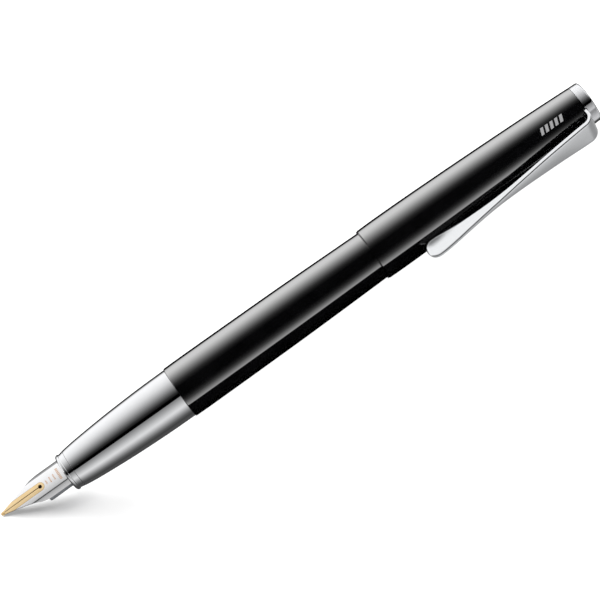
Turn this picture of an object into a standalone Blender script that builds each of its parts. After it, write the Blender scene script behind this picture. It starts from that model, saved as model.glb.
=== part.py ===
"""Posted metal fountain pen, built as an assembly of separate pieces.

All design dimensions are in millimetres, measured in the pen's own frame:
x runs along the pen's axis from the writing point to the cap's top, and radii
are measured from that axis.  The assembly is then laid on the ground plane
(+X towards the cap's top, +Z up) with its origin under the middle of its box.
"""
import math
import bpy
import bmesh
from mathutils import Matrix, Vector

MM = 0.001

# ---------------------------------------------------------------- dimensions
SEG = 32                 # facets round the large turned pieces
SEG_IN = 24              # facets round the small turned pieces

NIB_UP_DEG = 44.0        # nib's top normal, above the horizontal on the -Y side
CLIP_DOWN_DEG = 29.5     # clip's direction, below the horizontal on the -Y side

# nib and feed
NIB_R = 3.25             # outside radius of the nib's wings
NIB_FLAT = 2.52          # height of the nib's flat top above the axis
NIB_SHEET = 0.28         # nib's sheet thickness
NIB_END = 25.0           # rear edge of the nib, inside the grip
NIB_WING_DEG = 68.0      # wings reach this far round from the top normal
NIB_GAP = 0.07           # running gap between nib and feed
NIB_DIP = 0.25           # how far the point bends down towards the paper
PELLET_R = 0.36          # writing point
SLIT_W = 0.12
BREATHER_X, BREATHER_R = 10.4, 0.40
FEED_FRONT = 10.7        # front shoulder of the feed's body
FEED_END = 31.2
FEED_R = 3.20

# grip
MOUTH_X = 16.7
GRIP_START, GRIP_END = 18.45, 46.95
GRIP_OUT = [(18.45, 4.56), (20.3, 4.78), (22.5, 4.98), (24.6, 5.14), (26.8, 5.30),
            (29.0, 5.45), (32.0, 5.62), (35.5, 5.77), (39.9, 5.92), (44.2, 5.99),
            (46.95, 6.00)]
NECK_R, NECK_END = 4.80, 58.0      # male thread of the section core
NIPPLE_R = 1.85

# barrel
BARREL_START, BARREL_END = 47.27, 119.0
BARREL_OUT = [(47.27, 6.12), (47.50, 6.24), (50.7, 6.27), (66.0, 6.22), (74.6, 6.17),
              (83.3, 6.06), (92.0, 5.91), (98.4, 5.79), (104.0, 5.58), (110.0, 5.34),
              (116.0, 5.08), (118.4, 4.92), (119.0, 4.72)]

# converter
CONV_R, CONV_BORE = 3.40, 2.85
PISTON_TRAVEL = 22.0
KNOB_START, KNOB_END = 79.8, 108.5

# cap
CAP_START, CAP_END = 98.4, 154.0
CAP_OUT = [(98.55, 6.20), (98.8, 6.25), (103.0, 6.29), (109.4, 6.24), (120.0, 6.05),
           (131.0, 5.77), (142.0, 5.43), (148.0, 5.19), (153.7, 4.94), (154.0, 4.90)]
CAP_IN = [(152.6, 4.45), (142.0, 4.86), (130.0, 5.16), (118.0, 5.46), (104.0, 5.78),
          (98.6, 5.90)]
FINIAL_START, FINIAL_EDGE, FINIAL_TOP = 154.06, 155.85, 156.30
STUD_R = 1.50

# clip: (x, outer radius, radial height, tangential width)
CLIP_TIP = 108.6
CLIP_STATIONS = [(111.0, 10.98, 4.60, 0.76), (113.5, 10.75, 4.25, 0.78),
                 (119.6, 9.85, 2.80, 0.90), (126.0, 9.02, 1.65, 1.26),
                 (133.0, 8.42, 1.12, 2.45), (141.3, 7.96, 0.98, 4.20),
                 (148.5, 7.68, 1.00, 5.50), (151.6, 7.52, 1.00, 5.90)]
CLIP_PLATE = (153.55, 154.45)       # root plate, across the axis
CLIP_PIVOT = (154.0, 4.6)           # where the clip springs: x, radius
CLIP_HOLE_R = 1.95


# ---------------------------------------------------------------- clean start
for ob in list(bpy.data.objects):
    bpy.data.objects.remove(ob, do_unlink=True)

scene_col = bpy.context.scene.collection


def rad(deg):
    return math.radians(deg)


NIB_N = Vector((0.0, -math.cos(rad(NIB_UP_DEG)), math.sin(rad(NIB_UP_DEG))))
NIB_T = Vector((1.0, 0.0, 0.0)).cross(NIB_N)
CLIP_N = Vector((0.0, -math.cos(rad(CLIP_DOWN_DEG)), -math.sin(rad(CLIP_DOWN_DEG))))
CLIP_T = Vector((1.0, 0.0, 0.0)).cross(CLIP_N)


def smooth_table(stations, x):
    """Monotone cubic through rows (x, a, b, ...), one value per column."""
    n = len(stations)
    if x <= stations[0][0]:
        return stations[0][1:]
    if x >= stations[-1][0]:
        return stations[-1][1:]
    k = max(i for i in range(n - 1) if stations[i][0] <= x)
    out = []
    for c in range(1, len(stations[0])):
        d = [(stations[i + 1][c] - stations[i][c]) / (stations[i + 1][0] - stations[i][0])
             for i in range(n - 1)]
        m = [d[0]] + [0.0 if d[i - 1] * d[i] <= 0 else
                      2.0 * d[i - 1] * d[i] / (d[i - 1] + d[i]) for i in range(1, n - 1)] + [d[-1]]
        h = stations[k + 1][0] - stations[k][0]
        t = (x - stations[k][0]) / h
        out.append((2 * t**3 - 3 * t**2 + 1) * stations[k][c] + (t**3 - 2 * t**2 + t) * h * m[k]
                   + (-2 * t**3 + 3 * t**2) * stations[k + 1][c] + (t**3 - t**2) * h * m[k + 1])
    return tuple(out)


# ---------------------------------------------------------------- assembly tree
def empty(name, parent=None, at=(0.0, 0.0, 0.0)):
    ob = bpy.data.objects.new(name, None)
    ob.empty_display_size = 0.01
    scene_col.objects.link(ob)
    if parent is not None:
        ob.parent = parent
    ob.location = Vector(at) * MM
    return ob


pen = empty("pen_axis")
pivot = Vector((CLIP_PIVOT[0], 0, 0)) + CLIP_N * CLIP_PIVOT[1]
mount = {
    "barrel": empty("barrel_frame", pen),
    "section": empty("section_frame", pen),
    "nib": empty("nib_frame", pen),
    "converter": empty("converter_frame", pen),
    "piston": empty("piston_frame", pen),
    "knob": empty("knob_frame", pen),
    "cap": empty("cap_frame", pen),
    "clip": empty("clip_frame", pen, pivot),
}
origin_of = {k: (pivot if k == "clip" else Vector((0, 0, 0))) for k in mount}

MATERIALS = {
    "lacquer": ((0.012, 0.012, 0.014), 0.12, 0.0),
    "chrome": ((0.86, 0.87, 0.88), 0.08, 1.0),
    "nib_steel": ((0.80, 0.79, 0.77), 0.22, 1.0),
    "pellet": ((0.62, 0.62, 0.63), 0.35, 1.0),
    "feed": ((0.035, 0.035, 0.038), 0.45, 0.0),
    "core": ((0.025, 0.025, 0.027), 0.40, 0.0),
    "brass": ((0.72, 0.52, 0.24), 0.30, 1.0),
    "clear": ((0.85, 0.88, 0.90), 0.05, 0.0),
    "seal": ((0.03, 0.03, 0.03), 0.60, 0.0),
    "knob_red": ((0.42, 0.02, 0.02), 0.35, 0.0),
    "steel": ((0.55, 0.56, 0.58), 0.30, 1.0),
    "liner": ((0.05, 0.05, 0.055), 0.50, 0.0),
}


def finish_object(name, bm, body, look):
    """Turn a bmesh in pen millimetres into a shaded object under its body's empty."""
    shift = origin_of[body]
    for v in bm.verts:
        v.co = (v.co - shift) * MM
    bmesh.ops.remove_doubles(bm, verts=bm.verts, dist=2e-7)
    bmesh.ops.recalc_face_normals(bm, faces=bm.faces)
    me = bpy.data.meshes.new(name)
    bm.to_mesh(me)
    bm.free()
    me.shade_smooth()
    me.set_sharp_from_angle(angle=rad(32))
    ob = bpy.data.objects.new(name, me)
    scene_col.objects.link(ob)
    ob.parent = mount[body]
    colour, rough, metal = MATERIALS[look]
    mat = bpy.data.materials.new(name + "_mat")
    mat.use_nodes = True
    bsdf = mat.node_tree.nodes["Principled BSDF"]
    bsdf.inputs["Base Color"].default_value = (*colour, 1.0)
    bsdf.inputs["Roughness"].default_value = rough
    bsdf.inputs["Metallic"].default_value = metal
    me.materials.append(mat)
    return ob


def turned_mesh(profile, seg, closed=True):
    """Spin a profile of (x, r) round the pen's axis.  closed joins last to first."""
    bm = bmesh.new()
    vs = [bm.verts.new((x, 0.0, -r)) for x, r in profile]
    es = [bm.edges.new((vs[i], vs[i + 1])) for i in range(len(vs) - 1)]
    if closed:
        es.append(bm.edges.new((vs[-1], vs[0])))
    bmesh.ops.spin(bm, geom=vs + es, cent=(0, 0, 0), axis=(1, 0, 0),
                   angle=2.0 * math.pi, steps=seg, use_merge=True, use_duplicate=False)
    bmesh.ops.remove_doubles(bm, verts=bm.verts, dist=1e-4)
    bmesh.ops.dissolve_degenerate(bm, dist=1e-4, edges=bm.edges)
    return bm


def turned(name, profile, body, look, seg=SEG_IN, closed=True):
    return finish_object(name, turned_mesh(profile, seg, closed), body, look)


def loft_mesh(sections):
    """Skin matching closed sections (lists of points), capped at both ends."""
    bm = bmesh.new()
    rings = [[bm.verts.new(p) for p in sec] for sec in sections]
    n = len(rings[0])
    for a, b in zip(rings, rings[1:]):
        for i in range(n):
            bm.faces.new((a[i], a[(i + 1) % n], b[(i + 1) % n], b[i]))
    bm.faces.new(list(reversed(rings[0])))
    bm.faces.new(rings[-1])
    return bm


def cutter(name, bm, body):
    """A construction solid: kept wire-only and out of the finished part."""
    ob = finish_object(name, bm, body, "steel")
    ob.hide_render = True
    ob.display_type = "WIRE"
    return ob


def boolean(target, tool, operation):
    mod = target.modifiers.new(tool.name, "BOOLEAN")
    mod.operation = operation
    mod.solver = "EXACT"
    mod.object = tool


def block_mesh(x0, x1, n_dir, n0, n1, t_dir, half_w):
    """Box from x0 to x1, n0 to n1 along n_dir, and +-half_w along t_dir."""
    def sec(x):
        o = Vector((x, 0, 0))
        return [o + n_dir * n0 - t_dir * half_w, o + n_dir * n1 - t_dir * half_w,
                o + n_dir * n1 + t_dir * half_w, o + n_dir * n0 + t_dir * half_w]
    return loft_mesh([sec(x0), sec(x1)])


# ================================================================== BARREL
turned("barrel_tube",
       BARREL_OUT
       + [(119.0, 3.62), (116.9, 3.62), (116.7, 4.20), (96.0, 4.75), (60.0, 5.10),
          (59.3, 5.28), (47.27, 5.28)],
       "barrel", "lacquer", SEG)

turned("barrel_thread_bush",
       [(47.6, 4.86), (47.6, 5.20), (59.0, 5.20), (59.0, 4.86)],
       "barrel", "brass", SEG)

turned("tail_stud",
       [(117.0, 0.0), (117.0, 3.55), (119.3, 3.55), (119.3, 4.22), (119.55, 4.36),
        (121.4, 4.36), (121.9, 4.10), (122.35, 3.2), (122.5, 2.2), (122.5, 0.0)],
       "barrel", "chrome", SEG_IN, closed=False)

# ================================================================== SECTION
turned("grip_shell",
       GRIP_OUT + [(46.95, 5.16), (32.7, 5.16), (32.5, 4.06), (18.45, 4.06)],
       "section", "chrome", SEG)

turned("grip_front_ring",
       [(MOUTH_X + 0.15, 3.38), (MOUTH_X, 3.62), (MOUTH_X + 0.05, 4.02),
        (MOUTH_X + 0.35, 4.35), (MOUTH_X + 0.8, 4.50), (18.38, 4.55), (18.38, 3.38)],
       "section", "chrome", SEG)

turned("section_core",
       [(18.45, 3.36), (18.45, 3.99), (32.85, 3.99), (33.0, 5.10), (46.95, 5.10),
        (47.05, NECK_R), (57.7, NECK_R), (NECK_END, 4.55), (NECK_END, 3.95), (39.0, 3.95),
        (39.0, NIPPLE_R), (47.0, NIPPLE_R), (47.3, 1.60), (47.3, 0.90), (31.6, 0.90),
        (31.6, 3.36)],
       "section", "core", SEG)


def nib_path(u, radius, flat):
    """Point of the nib's cross-section at signed arc length u: (side, height)."""
    half = math.sqrt(max(radius * radius - flat * flat, 0.0))
    s = math.copysign(1.0, u)
    if abs(u) <= half:
        return u, flat
    a0 = math.atan2(half, flat)
    a = a0 + (abs(u) - half) / radius
    return s * radius * math.sin(a), radius * math.cos(a)


NIB_OUTLINE = [(0.45, 0.28), (2.5, 0.74), (4.5, 1.33), (6.6, 2.05), (8.4, 2.90), (10.1, 3.55)]
WING_U = (math.sqrt(NIB_R**2 - NIB_FLAT**2)
          + NIB_R * (rad(NIB_WING_DEG) - math.atan2(math.sqrt(NIB_R**2 - NIB_FLAT**2), NIB_FLAT)))


def nib_mesh():
    """Folded sheet: flat top, wings round the feed, front drawn to a point."""
    xs = [0.45, 1.5, 2.5, 4.5, 6.6, 8.4, 10.1, 12.0, NIB_END]
    fr = [-1.0, -0.82, -0.66, -0.52, -0.3, 0.0, 0.3, 0.52, 0.66, 0.82, 1.0]
    secs = []
    for x in xs:
        hw = min(smooth_table(NIB_OUTLINE + [(11.2, WING_U), (30.0, WING_U)], x)[0], WING_U)
        droop = NIB_DIP * max(0.0, 1.0 - x / 9.0) ** 2     # the point dips a little
        up, low = [], []
        for f in fr:
            u = f * hw
            s, h = nib_path(u, NIB_R, NIB_FLAT)
            s2, h2 = nib_path(u * (NIB_R - NIB_SHEET) / NIB_R, NIB_R - NIB_SHEET,
                              NIB_FLAT - NIB_SHEET)
            up.append(Vector((x, 0, 0)) + NIB_T * s + NIB_N * (h - droop))
            low.append(Vector((x, 0, 0)) + NIB_T * s2 + NIB_N * (h2 - droop))
        secs.append(up + list(reversed(low)))
    return loft_mesh(secs)


nib = finish_object("nib", nib_mesh(), "nib", "nib_steel")


def rod_along(direction, centre, radius, n0, n1, seg):
    side = Vector((1, 0, 0))
    other = direction.cross(side)
    def sec(n):
        return [centre + direction * n + side * (radius * math.cos(2 * math.pi * i / seg))
                + other * (radius * math.sin(2 * math.pi * i / seg)) for i in range(seg)]
    return loft_mesh([sec(n0), sec(n1)])


breather = cutter("breather_cut", rod_along(NIB_N, Vector((BREATHER_X, 0, 0)), BREATHER_R,
                                            1.6, 3.4, 16), "nib")
slit = cutter("slit_cut", block_mesh(0.95, BREATHER_X, NIB_N, 1.0, 3.4, NIB_T, SLIT_W / 2), "nib")
boolean(nib, breather, "DIFFERENCE")
boolean(nib, slit, "DIFFERENCE")

pel = bmesh.new()
bmesh.ops.create_icosphere(pel, subdivisions=2, radius=PELLET_R)
PELLET_H = NIB_FLAT - NIB_SHEET - NIB_DIP * (1 - 0.36 / 9.0) ** 2 + 0.02
for v in pel.verts:
    v.co = v.co + Vector((PELLET_R, 0, 0)) + NIB_N * PELLET_H
pellet = finish_object("nib_tipping", pel, "nib", "pellet")
# the sheet stops just short of the writing point
tip_room = bmesh.new()
bmesh.ops.create_icosphere(tip_room, subdivisions=2, radius=PELLET_R + 0.05)
for v in tip_room.verts:
    v.co = v.co + Vector((PELLET_R, 0, 0)) + NIB_N * PELLET_H
boolean(nib, cutter("tip_room_cut", tip_room, "nib"), "DIFFERENCE")


def feed_body_section(x):
    """Below the wings the feed is flush with them; under the nib it follows its inside."""
    r_in, flat_in = NIB_R - NIB_SHEET - NIB_GAP, NIB_FLAT - NIB_SHEET - NIB_GAP
    half = math.sqrt(r_in**2 - flat_in**2)
    a0 = math.atan2(half, flat_in)
    pts = [(0.0, flat_in), (half, flat_in)]
    for i in range(1, 4):
        a = a0 + (rad(NIB_WING_DEG + 1.5) - a0) * i / 3
        pts.append((r_in * math.sin(a), r_in * math.cos(a)))
    for i in range(0, 8):
        a = rad(NIB_WING_DEG + 2.0) + (math.pi - rad(NIB_WING_DEG + 2.0)) * i / 7
        pts.append((FEED_R * math.sin(a), FEED_R * math.cos(a)))
    ring = pts + [(-s, h) for s, h in reversed(pts[1:-1])]
    return [Vector((x, 0, 0)) + NIB_T * s + NIB_N * h for s, h in ring]


feed = finish_object("feed", loft_mesh([feed_body_section(FEED_FRONT),
                                        feed_body_section(FEED_END)]), "section", "feed")
tongue_secs = []
for x, w, top, low in [(3.4, 0.35, 1.98, 1.40), (6.0, 0.85, 2.08, 0.95),
                       (9.0, 1.45, 2.14, 0.45), (11.2, 1.60, 2.14, 0.20)]:
    tongue_secs.append([Vector((x, 0, 0)) + NIB_T * s + NIB_N * h for s, h in
                        [(-w, top), (w, top), (w, low + 0.25 * (top - low)), (0.6 * w, low),
                         (-0.6 * w, low), (-w, low + 0.25 * (top - low))]])
tongue = cutter("feed_tongue_add", loft_mesh(tongue_secs), "section")
boolean(feed, tongue, "UNION")

# ================================================================== CONVERTER
turned("converter_tube",
       [(41.0, 1.93), (41.0, 3.10), (41.4, CONV_R), (77.0, CONV_R), (77.0, CONV_BORE),
        (48.9, CONV_BORE), (47.9, 1.93)],
       "converter", "clear")

turned("converter_collar",
       [(73.5, 3.45), (73.5, 3.80), (79.2, 3.80), (79.5, 3.55), (79.5, 1.22), (77.3, 1.22),
        (77.3, 3.45)],
       "converter", "chrome")

turned("converter_seal",
       [(72.0, 0.0), (72.0, 2.55), (72.25, 2.81), (72.8, 2.60), (74.2, 2.60), (74.75, 2.81),
        (75.0, 2.55), (75.0, 1.20), (72.8, 1.20), (72.8, 0.0)],
       "piston", "seal", closed=False)

turned("converter_piston_rod",
       [(72.95, 0.0), (72.95, 1.10), (106.2, 1.10), (106.4, 0.9), (106.4, 0.0)],
       "piston", "core", closed=False)

turned("converter_drive_nut",
       [(80.0, 1.22), (80.0, 2.02), (84.0, 2.02), (84.0, 1.22)],
       "knob", "brass")

turned("converter_knob",
       [(107.0, 0.0), (107.0, 1.45), (84.2, 1.45), (84.2, 2.10), (KNOB_START, 2.10),
        (KNOB_START, 3.10), (80.1, 3.30), (107.9, 3.30), (KNOB_END, 2.80), (KNOB_END, 0.0)],
       "knob", "knob_red", closed=False)

# ================================================================== CAP
cap_tube = turned("cap_tube",
                  [(CAP_START, 6.08)] + CAP_OUT
                  + [(154.0, 4.36), (153.2, 4.36), (153.2, 1.62), (152.6, 1.62)]
                  + CAP_IN + [(CAP_START, 5.98)],
                  "cap", "lacquer", SEG)

turned("cap_liner",
       [(119.6, 4.46), (119.6, 5.30), (130.0, 5.06), (142.0, 4.76), (150.0, 4.45), (150.0, 0.0)]
       + [(149.2, 0.0), (149.2, 3.70), (124.6, 4.20), (124.0, 4.46)],
       "cap", "liner", SEG)

turned("cap_clutch_ring",
       [(112.0, 5.32), (112.0, 5.50), (115.5, 5.42), (115.5, 5.26)],
       "cap", "steel", SEG)

turned("clip_washer",
       [(152.24, 1.62), (152.24, 2.90), (152.52, 2.90), (152.52, 1.62)],
       "cap", "steel")

finial = turned("cap_finial",
                [(150.3, 0.0), (150.3, 1.35), (150.5, STUD_R), (154.53, STUD_R),
                 (154.53, 3.30), (FINIAL_START, 3.30), (FINIAL_START, 4.88),
                 (155.4, 4.84), (155.7, 4.74), (FINIAL_EDGE, 4.50), (156.15, 3.4),
                 (FINIAL_TOP, 2.4), (FINIAL_TOP, 0.0)],
                "cap", "chrome", SEG, closed=False)


def hex_nut(x0, x1, flats, hole_r):
    bm = bmesh.new()
    ro = flats / 2 / math.cos(math.pi / 6)
    seg = 24
    rings = []
    for x, hole in ((x0, True), (x0, False), (x1, False), (x1, True)):
        ring = []
        for i in range(seg):
            a = 2 * math.pi * i / seg
            if hole:
                r = hole_r
            else:
                b = (a + math.pi / 6) % (math.pi / 3) - math.pi / 6
                r = flats / 2 / math.cos(b)
                r = min(r, ro)
            ring.append(bm.verts.new((x, r * math.sin(a), -r * math.cos(a))))
        rings.append(ring)
    rings.append(rings[0])
    for a, b in zip(rings, rings[1:]):
        for i in range(seg):
            bm.faces.new((a[i], a[(i + 1) % seg], b[(i + 1) % seg], b[i]))
    return bm


finish_object("cap_nut", hex_nut(150.5, 152.2, 5.0, 1.58), "cap", "steel")

# slot for the clip's neck, half in the tube's rim and half in the finial
boolean(cap_tube, cutter("rim_slot_cut",
        block_mesh(153.28, 154.4, CLIP_N, 1.9, 6.5, CLIP_T, 3.10), "cap"), "DIFFERENCE")
boolean(finial, cutter("finial_slot_cut",
        block_mesh(153.6, 154.53, CLIP_N, 1.9, 6.5, CLIP_T, 3.10), "cap"), "DIFFERENCE")


def clip_sections():
    """Rectangular sections along the clip: blade at the free end, strap at the root,
    then round the bend and down across the pen's axis as the root plate."""
    secs = []

    def add(point, normal, height, width):
        x, r = point
        nx, nr = normal
        c = 0.16 * min(height, width)
        out = []
        for dh, dw in ((-height / 2, -width / 2 + c), (-height / 2 + c, -width / 2),
                       (height / 2 - c, -width / 2), (height / 2, -width / 2 + c),
                       (height / 2, width / 2 - c), (height / 2 - c, width / 2),
                       (-height / 2 + c, width / 2), (-height / 2, width / 2 - c)):
            out.append(Vector((x + nx * dh, 0, 0)) + CLIP_N * (r + nr * dh) + CLIP_T * dw)
        secs.append(out)

    r_mid = CLIP_STATIONS[0][1] - CLIP_STATIONS[0][2] / 2
    round_r = CLIP_STATIONS[0][2] / 2
    for dx in (0.0, 0.10, 0.42, 0.95, 1.6):
        h = 2 * math.sqrt(max(round_r**2 - (round_r - dx)**2, 0.12**2))
        add((CLIP_TIP + dx, r_mid), (0.0, 1.0), h, 0.72)
    for x in (111.0, 113.5, 116.5, 119.6, 123.0, 126.0, 129.5, 133.0, 137.0, 141.3, 145.0,
              148.5, 151.6):
        r_out, h, w = smooth_table(CLIP_STATIONS, x)
        add((x, r_out - h / 2), (0.0, 1.0), h, w)
    r_out, h, w = CLIP_STATIONS[-1][1:]
    plate_mid = (CLIP_PLATE[0] + CLIP_PLATE[1]) / 2
    plate_h = CLIP_PLATE[1] - CLIP_PLATE[0]
    bend = plate_mid - 152.3
    centre = (152.3, r_out - h / 2 - bend)
    for i in range(0, 6):
        a = rad(90.0 - 18.0 * i)
        add((centre[0] + bend * math.cos(a), centre[1] + bend * math.sin(a)),
            (math.cos(a), math.sin(a)), h + (plate_h - h) * i / 5, w)
    add((plate_mid, 2.2), (1.0, 0.0), plate_h, w)
    return secs


clip = finish_object("cap_clip", loft_mesh(clip_sections()), "clip", "chrome")
boolean(clip, cutter("clip_eye_add",
        turned_mesh([(CLIP_PLATE[0], 0.0), (CLIP_PLATE[0], 3.05), (CLIP_PLATE[1], 3.05),
                     (CLIP_PLATE[1], 0.0)], SEG_IN, closed=False), "clip"), "UNION")
boolean(clip, cutter("clip_eye_cut",
        turned_mesh([(152.5, 0.0), (152.5, CLIP_HOLE_R), (155.5, CLIP_HOLE_R), (155.5, 0.0)],
                    SEG_IN, closed=False), "clip"), "DIFFERENCE")

# ---------------------------------------------------------------- lay it down
# Box of the finished pieces with the axis at the origin, then the axis is moved
# so that the origin is below the middle of the box, on the ground plane.
bpy.context.view_layer.update()
low = Vector((1e9, 1e9, 1e9))
high = -low
for ob in bpy.data.objects:
    if ob.type == "MESH" and not ob.hide_render:
        for v in ob.data.vertices:
            p = ob.matrix_world @ v.co
            low = Vector(map(min, low, p))
            high = Vector(map(max, high, p))
pen.location = (-(low.x + high.x) / 2, -(low.y + high.y) / 2, -low.z)
bpy.context.view_layer.update()
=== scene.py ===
"""Looks of the posted fountain pen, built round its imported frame."""
import math
import bmesh
import bpy
import numpy as np
from mathutils import Matrix, Vector


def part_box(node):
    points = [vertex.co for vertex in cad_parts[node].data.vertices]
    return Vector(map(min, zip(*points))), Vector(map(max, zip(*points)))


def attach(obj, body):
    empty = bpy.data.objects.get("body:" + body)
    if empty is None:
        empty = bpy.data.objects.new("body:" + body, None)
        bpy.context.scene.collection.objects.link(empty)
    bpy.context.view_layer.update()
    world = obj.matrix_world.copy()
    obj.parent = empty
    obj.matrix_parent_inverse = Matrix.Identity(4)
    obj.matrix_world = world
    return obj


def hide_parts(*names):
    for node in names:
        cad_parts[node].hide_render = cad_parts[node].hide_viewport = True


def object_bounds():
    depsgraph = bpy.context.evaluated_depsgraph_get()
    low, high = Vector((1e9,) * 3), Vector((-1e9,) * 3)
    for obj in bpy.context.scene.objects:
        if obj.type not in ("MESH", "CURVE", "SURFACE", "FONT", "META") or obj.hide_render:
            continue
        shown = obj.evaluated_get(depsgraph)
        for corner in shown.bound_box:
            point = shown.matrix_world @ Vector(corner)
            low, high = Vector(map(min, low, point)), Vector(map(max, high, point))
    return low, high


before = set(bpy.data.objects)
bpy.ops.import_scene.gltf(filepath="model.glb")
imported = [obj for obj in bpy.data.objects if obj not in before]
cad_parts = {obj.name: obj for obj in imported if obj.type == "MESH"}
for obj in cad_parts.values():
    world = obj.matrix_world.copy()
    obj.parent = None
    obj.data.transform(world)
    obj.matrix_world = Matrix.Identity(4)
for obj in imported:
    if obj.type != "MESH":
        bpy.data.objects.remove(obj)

CAD_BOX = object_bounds()
MM = 0.001
scene = bpy.context.scene


def rad(d):
    return math.radians(d)


# ------------------------------------------------------------------ pen frame
# x in mm from the writing point along the axis; the other two directions are
# the world's Y and Z, so a local point is (x, y, z) mm from the axis origin.
_lo, _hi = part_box("barrel_tube")
_flo, _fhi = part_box("cap_finial")
AXIS_Y = (_lo.y + _hi.y) / 2
AXIS_Z = (_lo.z + _hi.z) / 2
AXIS_X = _fhi.x - 0.15630
ORIGIN = Vector((AXIS_X, AXIS_Y, AXIS_Z))

NIB_UP = rad(44.0)
CLIP_DOWN = rad(29.5)
EX = np.array([1.0, 0.0, 0.0])
NIB_N = np.array([0.0, -math.cos(NIB_UP), math.sin(NIB_UP)])
NIB_T = np.cross(EX, NIB_N)
CLIP_N = np.array([0.0, -math.cos(CLIP_DOWN), -math.sin(CLIP_DOWN)])
CLIP_T = np.cross(EX, CLIP_N)


# ------------------------------------------------------------------ mesh tools
def add_piece(name, verts, faces, body, nodes=(), sharp=35.0):
    """A finished object from pen-mm vertices and faces, riding on a body."""
    me = bpy.data.meshes.new(name)
    me.from_pydata([tuple(v) for v in (np.asarray(verts) * MM)], [], faces)
    bm = bmesh.new()
    bm.from_mesh(me)
    bmesh.ops.remove_doubles(bm, verts=bm.verts, dist=1e-7)
    bmesh.ops.dissolve_degenerate(bm, dist=1e-8, edges=bm.edges)
    bmesh.ops.recalc_face_normals(bm, faces=bm.faces)
    bm.to_mesh(me)
    bm.free()
    return add_mesh(name, me, body, nodes, sharp)


def add_mesh(name, me, body, nodes=(), sharp=35.0):
    me.shade_smooth()
    if sharp:
        me.set_sharp_from_angle(angle=rad(sharp))
    ob = bpy.data.objects.new(name, me)
    scene.collection.objects.link(ob)
    ob.location = ORIGIN
    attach(ob, body)
    if nodes:
        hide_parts(*nodes)
    return ob


def bool_apply(ob, tools):
    """Cut or join with temporary solids, then keep the plain mesh."""
    for tool, op in tools:
        mod = ob.modifiers.new(tool.name, "BOOLEAN")
        mod.operation, mod.solver, mod.object = op, "EXACT", tool
    bpy.context.view_layer.update()
    dg = bpy.context.evaluated_depsgraph_get()
    me = bpy.data.meshes.new_from_object(ob.evaluated_get(dg))
    ob.modifiers.clear()
    old = ob.data
    ob.data = me
    bpy.data.meshes.remove(old)
    for tool, _ in tools:
        bpy.data.objects.remove(tool, do_unlink=True)
    return ob


def temp_solid(name, verts, faces):
    me = bpy.data.meshes.new(name)
    me.from_pydata([tuple(v) for v in (np.asarray(verts) * MM)], [], faces)
    bm = bmesh.new()
    bm.from_mesh(me)
    bmesh.ops.remove_doubles(bm, verts=bm.verts, dist=1e-7)
    bmesh.ops.recalc_face_normals(bm, faces=bm.faces)
    bm.to_mesh(me)
    bm.free()
    ob = bpy.data.objects.new(name, me)
    scene.collection.objects.link(ob)
    ob.location = ORIGIN
    return ob


def spline(stations, x):
    """Monotone cubic through rows (x, a, b, ...); x may be an array."""
    st = np.asarray(stations, float)
    xs, ys = st[:, 0], st[:, 1:]
    x = np.clip(np.asarray(x, float), xs[0], xs[-1])
    h = np.diff(xs)
    d = np.diff(ys, axis=0) / h[:, None]
    m = np.zeros_like(ys)
    m[0], m[-1] = d[0], d[-1]
    for i in range(1, len(xs) - 1):
        p = d[i - 1] * d[i]
        s = d[i - 1] + d[i]
        m[i] = np.where(p > 0, 2 * p / np.where(np.abs(s) < 1e-12, 1, s), 0)
    k = np.clip(np.searchsorted(xs, x, side="right") - 1, 0, len(xs) - 2)
    t = ((x - xs[k]) / h[k])[..., None]
    hh = h[k][..., None]
    return ((2 * t**3 - 3 * t**2 + 1) * ys[k] + (t**3 - 2 * t**2 + t) * hh * m[k]
            + (-2 * t**3 + 3 * t**2) * ys[k + 1] + (t**3 - t**2) * hh * m[k + 1])


def soft(profile, default=0.0, n=5, closed=True):
    """Round the corners of a (x, r[, radius]) profile with arcs."""
    pts = [(p[0], p[1]) for p in profile]
    rr = [p[2] if len(p) > 2 else default for p in profile]
    out = []
    N = len(pts)
    for i in range(N):
        p = np.array(pts[i], float)
        if (not closed and i in (0, N - 1)) or rr[i] <= 0:
            out.append(tuple(p))
            continue
        a = np.array(pts[i - 1], float) - p
        b = np.array(pts[(i + 1) % N], float) - p
        la, lb = np.linalg.norm(a), np.linalg.norm(b)
        a, b = a / la, b / lb
        cosang = float(np.clip(a @ b, -1, 1))
        half = math.acos(cosang) / 2
        if half > rad(86):
            out.append(tuple(p))
            continue
        cut = min(rr[i] / math.tan(half), 0.48 * la, 0.48 * lb)
        r = cut * math.tan(half)
        c = p + (a + b) / np.linalg.norm(a + b) * (r / math.sin(half))
        s, e = p + a * cut - c, p + b * cut - c
        a0 = math.atan2(s[1], s[0])
        da = (math.atan2(e[1], e[0]) - a0 + math.pi) % (2 * math.pi) - math.pi
        for k in range(n + 1):
            q = a0 + da * k / n
            out.append((c[0] + r * math.cos(q), c[1] + r * math.sin(q)))
    return out


def turned(name, profile, body, nodes=(), seg=160, closed=True, mod=None, sharp=35.0):
    v, f = turned_arrays(profile, seg, closed, mod)
    return add_piece(name, v, f, body, nodes, sharp)


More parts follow.
